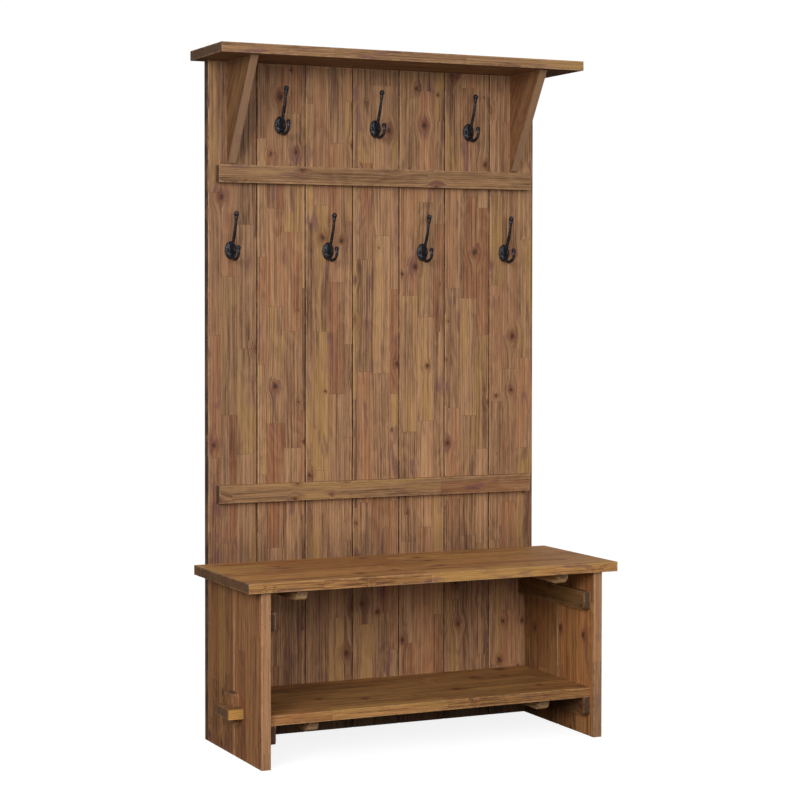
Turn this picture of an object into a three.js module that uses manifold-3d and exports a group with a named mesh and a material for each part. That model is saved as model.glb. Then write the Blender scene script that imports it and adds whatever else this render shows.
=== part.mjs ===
// Hall tree: a bench with a lower shelf in front of a tall boarded back, which carries
// double coat hooks and a bracketed top shelf. The lower shelf is locked to the bench
// sides by tusk wedges. Millimetres, +Z up, +Y to the wall; the origin is on the floor
// under the middle of the piece.
import * as THREE from 'three';
import { mergeVertices } from 'three/addons/utils/BufferGeometryUtils.js';
import Module from 'manifold-3d';

const wasm = await Module();
wasm.setup();

// ---------------------------------------------------------------- driving dimensions
const HEIGHT = 1829;
const DEPTH = 431;
const BODY_WIDTH = 978;
const BOARD = 25.4;
const OVERHANG = 39;

const BACK = DEPTH / 2;
const PANEL_FRONT = BACK - BOARD;
const SEAT_FRONT = -DEPTH / 2;
const BODY_X = BODY_WIDTH / 2;
const INNER_X = BODY_X - BOARD;
const BOARD_X = BODY_X + OVERHANG;

const PLANK_COUNT = 7;
const PLANK_GAP = 0.6;
const EDGE_CHAMFER = 3;
const SIDE_CHAMFER = 4.5;
const TONGUE_DEPTH = 6;
const TONGUE_THICKNESS = 6;
const FIT_GAP = 0.3;

const TOP_SHELF_DEPTH = 241;
const RAIL_HEIGHT = 47;
const RAIL_INSET = 23;
const UPPER_RAIL_BOTTOM = 1483;
const LOWER_RAIL_BOTTOM = 633;

const BRACKET_OUTER_X = 435;
const BRACKET_THICKNESS = 22;
const BRACKET_DEPTH = 178;
const BRACKET_NOSE = 9;
const BRACKET_BOTTOM = 1535.5;

const SEAT_TOP = 471;
const SIDE_DEPTH = 391.5;
const SIDE_SPLIT = 198;
const SIDE_EDGE = 1.5;
const SHELF_TOP = 132;
const SHELF_DEPTH = 375;
const SHELF_CLEARANCE = 0.5;

const CLEAT_THICKNESS = 20;
const CLEAT_HEIGHT = 49;
const CLEAT_DEPTH = 373;
const CLEAT_CORNER = 9;
const UPPER_CLEAT_BOTTOM = 341.5;

const SEAT_BATTEN = { x: 375, width: 27, height: 29, front: 383, back: 20, corner: 24 };
const SHELF_BATTEN = { x: 334, width: 27, height: 29, front: 356, back: 20, corner: 24 };

const TENON_FRONT = 263;
const TENON_BACK = 160;
const TENON_PROTRUSION = 39;
const WEDGE_FRONT = 233;
const WEDGE_BACK = 181;
const WEDGE_TOP = 167;
const WEDGE_BOTTOM = 88;
const WEDGE_CROWN = 10;
const WEDGE_TOP_THICKNESS = 22;
const WEDGE_BOTTOM_THICKNESS = 12;
const SLOT_INBOARD = 5;

const UPPER_HOOK_Z = 1640.5;
const LOWER_HOOK_Z = 1304.5;
const UPPER_HOOKS_X = [-283.5, -4, 282];
const LOWER_HOOKS_X = [-425, -144, 139.5, 394.5];
const PLATE_HALF_WIDTH = 16.5;
const PLATE_HALF_HEIGHT = 24;
const PLATE_EDGE = 2.5;
const PLATE_DOME = 5.5;
const ROD_RADIUS = 3.8;
const BALL_RADIUS = 6.5;
const COLLAR_RADIUS = 5;

const SCREW = { shank: 2, head: 3.4, headHeight: 2, hookLength: 18, cleatLength: 36 };
const HOOK_SCREW_X = 10.5;
const HOOK_SCREW_SEAT = 4;
const CLEAT_SCREW_Y = [357, 39];
const UPPER_CLEAT_SCREW_Z = 352.5;
const LOWER_CLEAT_SCREW_Z = 82;

// ---------------------------------------------------------------- materials
const wood = (color) => new THREE.MeshStandardMaterial({ color, roughness: 0.55, metalness: 0 });
const backWood = wood(0x9c7553);
const sideWood = wood(0x8d6544);
const boardWood = wood(0xb58a5f);
const trimWood = wood(0xc2986a);
const wedgeWood = wood(0xa57a50);
const iron = new THREE.MeshStandardMaterial({ color: 0x2b2725, roughness: 0.42, metalness: 0.85 });
const steel = new THREE.MeshStandardMaterial({ color: 0x6d655c, roughness: 0.35, metalness: 0.9 });

const hallTree = new THREE.Group();
hallTree.name = 'hall_tree';

// ---------------------------------------------------------------- helpers
// A depth counted forward from the front of the back panel, as a Y coordinate.
const forward = (depth) => PANEL_FRONT - depth;

function add(name, geometry, material, x = 0, y = 0, z = 0) {
  const mesh = new THREE.Mesh(geometry, material);
  mesh.name = name;
  mesh.position.set(x, y, z);
  hallTree.add(mesh);
}

function toSolid(geometry) {
  const bare = geometry.clone();
  bare.deleteAttribute('normal');
  bare.deleteAttribute('uv');
  const merged = mergeVertices(bare, 1e-4);
  return new wasm.Manifold(new wasm.Mesh({
    numProp: 3,
    vertProperties: new Float32Array(merged.attributes.position.array),
    triVerts: new Uint32Array(merged.index.array),
  }));
}

function toGeometry(solid) {
  const mesh = solid.getMesh();
  const geometry = new THREE.BufferGeometry();
  geometry.setAttribute('position', new THREE.BufferAttribute(mesh.vertProperties, 3));
  geometry.setIndex(new THREE.BufferAttribute(mesh.triVerts, 1));
  geometry.computeVertexNormals();
  return geometry;
}

function cut(geometry, tools) {
  const solid = tools.reduce((rest, tool) => rest.subtract(toSolid(tool)), toSolid(geometry));
  return toGeometry(solid);
}

function common(a, b) {
  return toGeometry(toSolid(a).intersect(toSolid(b)));
}

function join(geometries) {
  const solids = geometries.map(toSolid);
  return toGeometry(solids.reduce((whole, piece) => whole.add(piece)));
}

// A box from its low corner to its high corner.
function block(low, high) {
  const size = high.map((value, axis) => value - low[axis]);
  const middle = high.map((value, axis) => (value + low[axis]) / 2);
  return new THREE.BoxGeometry(...size).translate(...middle);
}

function addBlock(name, material, low, high) {
  const size = high.map((value, axis) => value - low[axis]);
  const middle = high.map((value, axis) => (value + low[axis]) / 2);
  add(name, new THREE.BoxGeometry(...size), material, ...middle);
}

function extrude(outline, length) {
  return new THREE.ExtrudeGeometry(outline, { depth: length, bevelEnabled: false, curveSegments: 6 });
}

function polygon(points) {
  return new THREE.Shape(points.map(([a, b]) => new THREE.Vector2(a, b)));
}

// Outlines drawn in the YZ plane run along +X, and outlines drawn in XZ run along -Y.
const X = new THREE.Vector3(1, 0, 0);
const Y = new THREE.Vector3(0, 1, 0);
const Z = new THREE.Vector3(0, 0, 1);
const alongX = new THREE.Matrix4().makeBasis(Y, Z, X);
const alongMinusY = new THREE.Matrix4().makeBasis(X, Z, Y.clone().negate());

// A drill or shank along an axis, starting at a point.
function rod(radius, length, direction, start, sides = 10) {
  const geometry = new THREE.CylinderGeometry(radius, radius, length, sides);
  geometry.translate(0, length / 2, 0);
  geometry.applyQuaternion(new THREE.Quaternion().setFromUnitVectors(Y, direction));
  return geometry.translate(...start);
}

// ---------------------------------------------------------------- back panel
// Boards joined by a tongue on the right edge and a groove on the left, with chamfered
// front edges that make the V between two boards.
function plankOutline(width, hasGroove, hasTongue) {
  const half = width / 2;
  const mid = BOARD / 2;
  const tongue = TONGUE_THICKNESS / 2;
  const points = [[-half + EDGE_CHAMFER, 0], [half - EDGE_CHAMFER, 0], [half, EDGE_CHAMFER]];
  if (hasTongue) {
    points.push([half, mid - tongue], [half + TONGUE_DEPTH, mid - tongue]);
    points.push([half + TONGUE_DEPTH, mid + tongue], [half, mid + tongue]);
  }
  points.push([half, BOARD], [-half, BOARD]);
  if (hasGroove) {
    const groove = tongue + FIT_GAP;
    const bottom = -half + TONGUE_DEPTH + FIT_GAP;
    points.push([-half, mid + groove], [bottom, mid + groove]);
    points.push([bottom, mid - groove], [-half, mid - groove]);
  }
  points.push([-half, EDGE_CHAMFER]);
  return polygon(points);
}

function hookScrewHoles(plankX, plankHalf) {
  const rows = [[UPPER_HOOKS_X, UPPER_HOOK_Z], [LOWER_HOOKS_X, LOWER_HOOK_Z]];
  const holes = [];
  for (const [places, z] of rows) {
    for (const hookX of places.filter((x) => Math.abs(x - plankX) < plankHalf)) {
      for (const side of [-1, 1]) {
        const start = [hookX - plankX + side * HOOK_SCREW_X, -1, z];
        holes.push(rod(SCREW.shank + FIT_GAP, SCREW.hookLength + 1, Y, start));
      }
    }
  }
  return holes;
}

function addBackPanel() {
  const pitch = BODY_WIDTH / PLANK_COUNT;
  const width = pitch - PLANK_GAP;
  for (let i = 0; i < PLANK_COUNT; i += 1) {
    const x = (i - (PLANK_COUNT - 1) / 2) * pitch;
    const outline = plankOutline(width, i > 0, i < PLANK_COUNT - 1);
    const plank = extrude(outline, HEIGHT - BOARD);
    const drilled = cut(plank, hookScrewHoles(x, pitch / 2));
    add(`back_plank_${i + 1}`, drilled, backWood, x, PANEL_FRONT, 0);
  }
}

function addRail(name, bottom) {
  const end = BODY_X - RAIL_INSET;
  addBlock(name, trimWood, [-end, forward(BOARD), bottom], [end, PANEL_FRONT, bottom + RAIL_HEIGHT]);
}

// ---------------------------------------------------------------- top shelf and brackets
function addTopShelf() {
  const front = BACK - TOP_SHELF_DEPTH;
  addBlock('top_shelf', boardWood, [-BOARD_X, front, HEIGHT - BOARD], [BOARD_X, BACK, HEIGHT]);
}

function addBrackets() {
  const height = HEIGHT - BOARD - BRACKET_BOTTOM;
  const outline = polygon([[0, 0], [0, height], [-BRACKET_DEPTH, height], [-BRACKET_NOSE, 0]]);
  const geometry = extrude(outline, BRACKET_THICKNESS).applyMatrix4(alongX);
  const rightX = BRACKET_OUTER_X - BRACKET_THICKNESS;
  add('left_shelf_bracket', geometry, trimWood, -BRACKET_OUTER_X, PANEL_FRONT, BRACKET_BOTTOM);
  add('right_shelf_bracket', geometry, trimWood, rightX, PANEL_FRONT, BRACKET_BOTTOM);
}

// ---------------------------------------------------------------- bench
// A bar that runs front to back under a board, with its lower front corner rounded off.
function barGeometry(width, height, front, back, corner) {
  const length = front - back;
  const shape = new THREE.Shape();
  shape.moveTo(0, 0);
  shape.lineTo(0, height);
  shape.lineTo(-length, height);
  shape.lineTo(-length, corner);
  shape.absarc(-length + corner, corner, corner, Math.PI, 1.5 * Math.PI, false);
  return extrude(shape, width).applyMatrix4(alongX);
}

function addBattens(names, batten, underside) {
  const geometry = barGeometry(batten.width, batten.height, batten.front, batten.back, batten.corner);
  names.forEach((name, i) => {
    const x = (i === 0 ? -batten.x : batten.x) - batten.width / 2;
    add(name, geometry, trimWood, x, forward(batten.back), underside - batten.height);
  });
}

function screwHole(side, depth, z, faceX, length) {
  const outward = X.clone().multiplyScalar(side);
  return rod(SCREW.shank + FIT_GAP, length, outward, [side * faceX, forward(depth), z]);
}

// Each bench side is two upright boards; their meeting edges are chamfered on both
// faces, the front edge is eased, and both are notched for the shelf's through tenon.
function addSidePlank(name, side, front, back, tenonFront, tenonBack, screwDepth) {
  const c = SIDE_CHAMFER;
  const low = forward(front);
  const high = forward(back);
  const meetsInFront = back > 0;
  const shape = meetsInFront
    ? [[INNER_X, low + SIDE_EDGE], [INNER_X + SIDE_EDGE, low], [BODY_X - SIDE_EDGE, low],
      [BODY_X, low + SIDE_EDGE], [BODY_X, high - c], [BODY_X - c, high],
      [INNER_X + c, high], [INNER_X, high - c]]
    : [[INNER_X + c, low], [BODY_X - c, low], [BODY_X, low + c], [BODY_X, high],
      [INNER_X, high], [INNER_X, low + c]];
  const points = shape.map(([x, y]) => [side * x, y]);
  const plank = extrude(polygon(points), SEAT_TOP - BOARD);
  const sides = [side * (INNER_X - 1), side * (BODY_X + 1)];
  const notch = block(
    [Math.min(...sides), forward(tenonFront), SHELF_TOP - BOARD - FIT_GAP],
    [Math.max(...sides), forward(tenonBack), SHELF_TOP + FIT_GAP],
  );
  const face = INNER_X - 1;
  const depth = SCREW.cleatLength - CLEAT_THICKNESS + 1;
  const holes = [UPPER_CLEAT_SCREW_Z, LOWER_CLEAT_SCREW_Z].map(
    (z) => screwHole(side, screwDepth, z, face, depth),
  );
  add(name, cut(plank, [notch, ...holes]), sideWood);
}

function addBenchSide(word, side) {
  const [frontScrew, backScrew] = CLEAT_SCREW_Y;
  const frontEdge = TENON_FRONT + FIT_GAP;
  const backEdge = TENON_BACK - FIT_GAP;
  const pastSplit = 1;
  addSidePlank(`${word}_side_front_plank`, side, SIDE_DEPTH, SIDE_SPLIT,
    frontEdge, SIDE_SPLIT - pastSplit, frontScrew);
  addSidePlank(`${word}_side_back_plank`, side, SIDE_SPLIT, 0,
    SIDE_SPLIT + pastSplit, backEdge, backScrew);
}

function addCleat(name, side, bottom, screwZ) {
  const bar = barGeometry(CLEAT_THICKNESS, CLEAT_HEIGHT, CLEAT_DEPTH, 0, CLEAT_CORNER);
  const left = side < 0 ? -INNER_X : INNER_X - CLEAT_THICKNESS;
  const placed = bar.translate(left, PANEL_FRONT, bottom);
  const face = INNER_X - CLEAT_THICKNESS - 1;
  const through = CLEAT_THICKNESS + 2;
  const holes = CLEAT_SCREW_Y.map((depth) => screwHole(side, depth, screwZ, face, through));
  add(name, cut(placed, holes), trimWood);
}

function addSeat() {
  addBlock('seat', boardWood, [-BOARD_X, SEAT_FRONT, SEAT_TOP - BOARD], [BOARD_X, PANEL_FRONT, SEAT_TOP]);
}

// ---------------------------------------------------------------- lower shelf, tenons, wedges
const wedgeFace = BODY_X + FIT_GAP;
const wedgeSlope = (WEDGE_TOP_THICKNESS - WEDGE_BOTTOM_THICKNESS) / (WEDGE_TOP - WEDGE_BOTTOM);
const wedgeThickness = (z) => WEDGE_BOTTOM_THICKNESS + wedgeSlope * (z - WEDGE_BOTTOM);

// Outline in XZ of the wedge, or of its slot when margins are given.
function wedgeOutline(side, bottom, top, inboard, outboard) {
  const inner = wedgeFace - inboard;
  const points = [
    [inner, bottom],
    [wedgeFace + wedgeThickness(bottom) + outboard, bottom],
    [wedgeFace + wedgeThickness(top) + outboard, top],
    [inner, top],
  ];
  return polygon(points.map(([x, z]) => [side * x, z]));
}

function wedgeSlot(side) {
  const outline = wedgeOutline(side, SHELF_TOP - BOARD - 1, SHELF_TOP + 1, SLOT_INBOARD, FIT_GAP);
  const width = WEDGE_FRONT - WEDGE_BACK + 2 * FIT_GAP;
  return extrude(outline, width).applyMatrix4(alongMinusY).translate(0, forward(WEDGE_BACK - FIT_GAP), 0);
}

function addLowerShelf() {
  const end = INNER_X - SHELF_CLEARANCE;
  const tip = BODY_X + TENON_PROTRUSION;
  const right = [
    [end, forward(SHELF_DEPTH)], [end, forward(TENON_FRONT)], [tip, forward(TENON_FRONT)],
    [tip, forward(TENON_BACK)], [end, forward(TENON_BACK)], [end, PANEL_FRONT],
  ];
  const left = right.map(([x, y]) => [-x, y]).reverse();
  const board = extrude(polygon([...right, ...left]), BOARD).translate(0, 0, SHELF_TOP - BOARD);
  add('lower_shelf', cut(board, [wedgeSlot(-1), wedgeSlot(1)]), boardWood);
}

// The wedge tapers towards its tip and its top is rounded at the front and back corners.
function addWedge(name, side) {
  const width = WEDGE_FRONT - WEDGE_BACK;
  const taper = extrude(wedgeOutline(side, WEDGE_BOTTOM, WEDGE_TOP, 0, 0), width);
  const face = new THREE.Shape();
  const shoulder = WEDGE_TOP - WEDGE_CROWN;
  face.moveTo(0, WEDGE_BOTTOM);
  face.lineTo(0, shoulder);
  face.absarc(-WEDGE_CROWN, shoulder, WEDGE_CROWN, 0, Math.PI / 2, false);
  face.lineTo(-width + WEDGE_CROWN, WEDGE_TOP);
  face.absarc(-width + WEDGE_CROWN, shoulder, WEDGE_CROWN, Math.PI / 2, Math.PI, false);
  face.lineTo(-width, WEDGE_BOTTOM);
  const span = 2 * (wedgeFace + WEDGE_TOP_THICKNESS + 1);
  const crown = extrude(face, span).applyMatrix4(alongX).translate(-span / 2, 0, 0);
  const geometry = common(taper.applyMatrix4(alongMinusY), crown);
  add(name, geometry, wedgeWood, 0, forward(WEDGE_BACK), 0);
}

// ---------------------------------------------------------------- coat hooks
function domedPlate() {
  const rings = 3;
  const profile = [new THREE.Vector2(0, 0), new THREE.Vector2(1, 0), new THREE.Vector2(1, PLATE_EDGE)];
  for (let i = 1; i <= rings; i += 1) {
    const angle = (i / rings) * (Math.PI / 2);
    const radius = i === rings ? 0 : Math.cos(angle);
    profile.push(new THREE.Vector2(radius, PLATE_EDGE + PLATE_DOME * Math.sin(angle)));
  }
  const plate = new THREE.LatheGeometry(profile, 18);
  return plate.scale(PLATE_HALF_WIDTH, 1, PLATE_HALF_HEIGHT).rotateX(Math.PI);
}

// An eight-sided rod along a path of [out from the panel, up] points.
function bentRod(points, radius, steps) {
  const path = new THREE.CatmullRomCurve3(points.map(([out, z]) => new THREE.Vector3(0, -out, z)));
  const ring = new THREE.Shape();
  ring.absarc(0, 0, radius, 0, 2 * Math.PI, false);
  const options = { steps, extrudePath: path, curveSegments: 4, bevelEnabled: false };
  return new THREE.ExtrudeGeometry(ring, options);
}

function ball(radius, out, z) {
  return new THREE.SphereGeometry(radius, 8, 6).rotateX(Math.PI / 2).translate(0, -out, z);
}

const ARM_PATH = [[3, -9], [12, 3], [20, 18], [31, 42], [39, 65], [44, 85], [46, 95]];
const CURL_PATH = [[3, -15], [14, -21], [34, -25], [54, -18.5], [62, -6], [60.5, 5.5]];
const ARM_COLLAR = [44.5, 86.5];

function hookGeometry() {
  const armTip = ARM_PATH[ARM_PATH.length - 1];
  const curlTip = CURL_PATH[CURL_PATH.length - 1];
  const hook = join([
    domedPlate(),
    bentRod(ARM_PATH, ROD_RADIUS, 8),
    bentRod(CURL_PATH, ROD_RADIUS, 9),
    ball(BALL_RADIUS, ...armTip),
    ball(BALL_RADIUS, ...curlTip),
    ball(COLLAR_RADIUS, ...ARM_COLLAR),
  ]);
  const outward = Y.clone().negate();
  const holes = [-HOOK_SCREW_X, HOOK_SCREW_X].flatMap((x) => [
    rod(SCREW.shank + FIT_GAP, HOOK_SCREW_SEAT + 2, outward, [x, 1, 0]),
    rod(SCREW.head + FIT_GAP, PLATE_DOME + PLATE_EDGE, outward, [x, -HOOK_SCREW_SEAT, 0]),
  ]);
  return cut(hook, holes);
}

// A round-head screw, tip first: the head's underside is at the origin, and the shank
// runs along the given direction.
function screwGeometry(length, direction) {
  const into = direction.clone();
  const out = direction.clone().negate();
  const shank = rod(SCREW.shank, length, into, [0, 0, 0]);
  const head = rod(SCREW.head, SCREW.headHeight, out, [0, 0, 0]);
  return join([shank, head]);
}

function addHookRow(word, places, z) {
  const geometry = hookGeometry();
  const screw = screwGeometry(HOOK_SCREW_SEAT + SCREW.hookLength - 1, Y);
  places.forEach((x, i) => {
    const name = `${word}_coat_hook_${i + 1}`;
    add(name, geometry, iron, x, PANEL_FRONT, z);
    const seat = PANEL_FRONT - HOOK_SCREW_SEAT;
    add(`${name}_left_screw`, screw, steel, x - HOOK_SCREW_X, seat, z);
    add(`${name}_right_screw`, screw, steel, x + HOOK_SCREW_X, seat, z);
  });
}

function addCleatScrews(word, side) {
  const screw = screwGeometry(SCREW.cleatLength - 1, X.clone().multiplyScalar(side));
  const face = side * (INNER_X - CLEAT_THICKNESS);
  const ends = ['front', 'back'];
  const levels = [['upper', UPPER_CLEAT_SCREW_Z], ['lower', LOWER_CLEAT_SCREW_Z]];
  for (const [level, z] of levels) {
    CLEAT_SCREW_Y.forEach((depth, i) => {
      add(`${word}_${level}_cleat_${ends[i]}_screw`, screw, steel, face, forward(depth), z);
    });
  }
}

// ---------------------------------------------------------------- assembly
addBackPanel();
addRail('upper_rail', UPPER_RAIL_BOTTOM);
addRail('lower_rail', LOWER_RAIL_BOTTOM);
addTopShelf();
addBrackets();

addBenchSide('left', -1);
addBenchSide('right', 1);
addSeat();
addBattens(['left_seat_batten', 'right_seat_batten'], SEAT_BATTEN, SEAT_TOP - BOARD);

addLowerShelf();
addBattens(['left_shelf_batten', 'right_shelf_batten'], SHELF_BATTEN, SHELF_TOP - BOARD);
addWedge('left_tusk_wedge', -1);
addWedge('right_tusk_wedge', 1);

const lowerCleatBottom = SHELF_TOP - BOARD - CLEAT_HEIGHT;
for (const [word, side] of [['left', -1], ['right', 1]]) {
  addCleat(`${word}_upper_cleat`, side, UPPER_CLEAT_BOTTOM, UPPER_CLEAT_SCREW_Z);
  addCleat(`${word}_lower_cleat`, side, lowerCleatBottom, LOWER_CLEAT_SCREW_Z);
  addCleatScrews(word, side);
}

addHookRow('upper', UPPER_HOOKS_X, UPPER_HOOK_Z);
addHookRow('lower', LOWER_HOOKS_X, LOWER_HOOK_Z);

export default hallTree;
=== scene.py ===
"""Looks of the hall tree: brushed, stave-jointed brown boards, black iron hooks, plain studio."""
import math
import random
from collections import namedtuple

import bmesh
import bpy
from mathutils import Matrix, Vector


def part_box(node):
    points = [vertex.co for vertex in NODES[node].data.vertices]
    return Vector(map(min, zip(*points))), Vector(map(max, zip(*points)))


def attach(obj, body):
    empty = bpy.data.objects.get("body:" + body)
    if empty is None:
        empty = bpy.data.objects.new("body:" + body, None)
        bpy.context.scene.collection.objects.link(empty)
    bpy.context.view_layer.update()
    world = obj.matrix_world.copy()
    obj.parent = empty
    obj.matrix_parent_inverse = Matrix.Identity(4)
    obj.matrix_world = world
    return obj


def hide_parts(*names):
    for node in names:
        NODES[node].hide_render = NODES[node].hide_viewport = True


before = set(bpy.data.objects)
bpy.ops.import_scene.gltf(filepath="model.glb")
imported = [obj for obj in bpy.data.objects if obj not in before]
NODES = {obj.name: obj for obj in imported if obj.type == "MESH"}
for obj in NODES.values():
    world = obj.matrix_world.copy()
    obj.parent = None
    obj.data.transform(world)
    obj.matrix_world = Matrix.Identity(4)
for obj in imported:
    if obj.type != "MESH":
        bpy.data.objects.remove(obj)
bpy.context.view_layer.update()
MM = 0.001
PANEL_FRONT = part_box("upper_rail")[1][1]

# ------------------------------------------------------------------ camera
# A long lens at the front left, at about two thirds of the hall tree's height, aimed slightly down.
CAMERA_PLACE = (-2.3662, -5.0402, 1.1798)
CAMERA_HEADING = math.radians(24.996)
CAMERA_PITCH = math.radians(-1.365)
CAMERA_ROLL = math.radians(0.061)
CAMERA_LENS = 94.09
CAMERA_SHIFT = -0.0661
SENSOR = 36.0


def make_camera():
    """The heading turns the camera from +Y towards +X, and the shift moves the frame down."""
    data = bpy.data.cameras.new("camera")
    data.lens = CAMERA_LENS
    data.sensor_width = SENSOR
    data.shift_y = CAMERA_SHIFT
    data.clip_end = 100.0
    camera = bpy.data.objects.new("camera", data)
    bpy.context.scene.collection.objects.link(camera)
    heading = Matrix.Rotation(-CAMERA_HEADING, 4, "Z")
    pitch = Matrix.Rotation(math.pi / 2 + CAMERA_PITCH, 4, "X")
    roll = Matrix.Rotation(CAMERA_ROLL, 4, "Z")
    camera.matrix_world = Matrix.Translation(CAMERA_PLACE) @ heading @ pitch @ roll
    bpy.context.scene.camera = camera


# ------------------------------------------------------------------ shader helpers
class Graph:
    """Short calls for building a node tree. Values are numbers, tuples or sockets."""

    def __init__(self, tree):
        self.tree = tree

    def add(self, kind, **settings):
        node = self.tree.nodes.new(kind)
        for key, value in settings.items():
            setattr(node, key, value)
        return node

    def feed(self, socket, value):
        if isinstance(value, bpy.types.NodeSocket):
            self.tree.links.new(value, socket)
        elif value is not None:
            socket.default_value = value

    def math(self, operation, a, b=None, c=None, clamp=False):
        node = self.add("ShaderNodeMath", operation=operation, use_clamp=clamp)
        for socket, value in zip(node.inputs, (a, b, c)):
            self.feed(socket, value)
        return node.outputs[0]

    def sum(self, first, *rest):
        for value in rest:
            first = self.math("ADD", first, value)
        return first

    def minus(self, a, b):
        return self.math("SUBTRACT", a, b)

    def times(self, first, *rest):
        for value in rest:
            first = self.math("MULTIPLY", first, value)
        return first

    def over(self, a, b):
        return self.math("DIVIDE", a, b)

    def vector(self, operation, a, b=None):
        node = self.add("ShaderNodeVectorMath", operation=operation)
        self.feed(node.inputs[0], a)
        self.feed(node.inputs[1], b)
        return node.outputs["Value" if operation in ("DOT_PRODUCT", "LENGTH") else "Vector"]

    def split(self, vector):
        node = self.add("ShaderNodeSeparateXYZ")
        self.feed(node.inputs[0], vector)
        return node.outputs[0], node.outputs[1], node.outputs[2]

    def combine(self, x, y, z):
        node = self.add("ShaderNodeCombineXYZ")
        for socket, value in zip(node.inputs, (x, y, z)):
            self.feed(socket, value)
        return node.outputs[0]

    def noise(self, vector, scale=1.0, detail=2.0, roughness=0.5, distortion=0.0):
        node = self.add("ShaderNodeTexNoise")
        self.feed(node.inputs["Vector"], vector)
        self.feed(node.inputs["Scale"], scale)
        self.feed(node.inputs["Detail"], detail)
        self.feed(node.inputs["Roughness"], roughness)
        self.feed(node.inputs["Distortion"], distortion)
        return node.outputs["Fac"]

    def random(self, value):
        node = self.add("ShaderNodeTexWhiteNoise", noise_dimensions="1D")
        self.feed(node.inputs["W"], value)
        return self.split(node.outputs["Color"])

    def ramp(self, value, low, high, smooth=True):
        kind = "SMOOTHSTEP" if smooth else "LINEAR"
        node = self.add("ShaderNodeMapRange", interpolation_type=kind)
        self.feed(node.inputs["Value"], value)
        self.feed(node.inputs["From Min"], low)
        self.feed(node.inputs["From Max"], high)
        return node.outputs["Result"]

    def mix(self, factor, a, b, blend="MIX"):
        node = self.add("ShaderNodeMix", data_type="RGBA", blend_type=blend)
        self.feed(node.inputs[0], factor)
        self.feed(node.inputs[6], a)
        self.feed(node.inputs[7], b)
        return node.outputs[2]

    def bump(self, height, distance, strength=1.0):
        node = self.add("ShaderNodeBump")
        self.feed(node.inputs["Strength"], strength)
        self.feed(node.inputs["Distance"], distance)
        self.feed(node.inputs["Height"], height)
        return node.outputs["Normal"]


def new_group(name, inputs, outputs):
    """An empty node group: its graph, the sockets it is given and the sockets it feeds."""
    tree = bpy.data.node_groups.new(name, "ShaderNodeTree")
    for label, kind in inputs:
        tree.interface.new_socket(label, in_out="INPUT", socket_type=kind)
    for label, kind in outputs:
        tree.interface.new_socket(label, in_out="OUTPUT", socket_type=kind)
    graph = Graph(tree)
    source = graph.add("NodeGroupInput")
    sink = graph.add("NodeGroupOutput")
    return graph, source.outputs, sink.inputs


def new_material(name):
    """A material with its graph and its one shader."""
    material = bpy.data.materials.new(name)
    material.use_nodes = True
    graph = Graph(material.node_tree)
    shader = material.node_tree.nodes["Principled BSDF"]
    return material, graph, shader


def srgb(red, green, blue):
    """A colour named by its screen values, as the linear light that shaders take."""
    def linear(value):
        value /= 255.0
        return value / 12.92 if value <= 0.04045 else ((value + 0.055) / 1.055) ** 2.4
    return (linear(red), linear(green), linear(blue), 1.0)


# ------------------------------------------------------------------ wood
# The wood is solid: its pattern runs through a board in the board's own grain frame, in
# metres along the grain, across the face and through the thickness.
KNOT_HEART = srgb(54, 34, 30)
KNOT_RIM = srgb(112, 66, 42)
STRAW = srgb(182, 142, 74)
RUSSET = srgb(158, 94, 56)
PLUM = srgb(98, 60, 70)
SEAM = srgb(52, 32, 22)
SAP = srgb(206, 156, 80)
# a deep brown: painted shade in the grooves and at the back's foot, and the tenons' darker tops
DEEP_BROWN = srgb(40, 24, 16)
END_GRAIN = srgb(60, 46, 40)
# painted light: a paler tone laid on faces that look to the front
FRONT_PAINTED_LIGHT = srgb(168, 136, 108)
# a grey laid on the right side's front faces instead of that painted light
RIGHT_FRONT_GREY = srgb(132, 112, 94)
# a pale tone for rubbed arrises, also laid as a painted highlight on arrises
RUBBED_AND_HIGHLIGHT = srgb(204, 164, 122)

# layers of the grain: cycles per metre along it and across it
SWAY = (4.0, 6.0)
SWELL = (3.0, 11.0)
BAND = (2.4, 48.0)
STREAK = (3.0, 400.0)
FIBRE = (26.0, 640.0)
PORES = (70.0, 1100.0)
PATCH = (3.2, 30.0)
CLOUD = (9.0, 40.0)

# how far each layer moves the tone between a board's dark and its light
BAND_WEIGHT = 0.52
STREAK_WEIGHT = 0.54
FIBRE_WEIGHT = 1.25
RING_WEIGHT = 0.14
PATCH_WEIGHT = 0.24
PORE_WEIGHT = 0.25
BOARD_WEIGHT = 0.08
MIDDLE_TONE = 0.56

# how strongly each tint covers the wood where it is at its fullest
STRAW_TINT = 0.34
RUSSET_TINT = 0.32
PLUM_TINT = 0.48
HALO_TINT = 0.28
RIM_TINT = 0.5
HEART_TINT = 0.80
SEAM_TINT = 0.30
END_GRAIN_TINT = 0.68
# how much painted light the front faces take, on the brackets and elsewhere, and how much grey the
# right side's front takes
BRACKET_FRONT_PAINTED_LIGHT_TINT = 0.5
FRONT_PAINTED_LIGHT_TINT = 0.28
RIGHT_FRONT_GREY_TINT = 0.45
# share of the rubbed wear and painted edge highlight on arrises
ARRIS_WEAR_AND_HIGHLIGHT_TINT = 0.26
SAP_TINT = 0.55
# how much darker the tenons' tops are
TENON_TOP_DARK_TINT = 0.45
# shares of the painted highlight on groove arrises and of the painted shade down in the grooves
GROOVE_ARRIS_HIGHLIGHT_TINT = 0.42
GROOVE_SHADE_TINT = 0.85
# shares of the painted shade at the back's foot and in the corner above the seat
FOOT_SHADE_TINT = 0.66
CORNER_SHADE_TINT = 0.30

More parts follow.
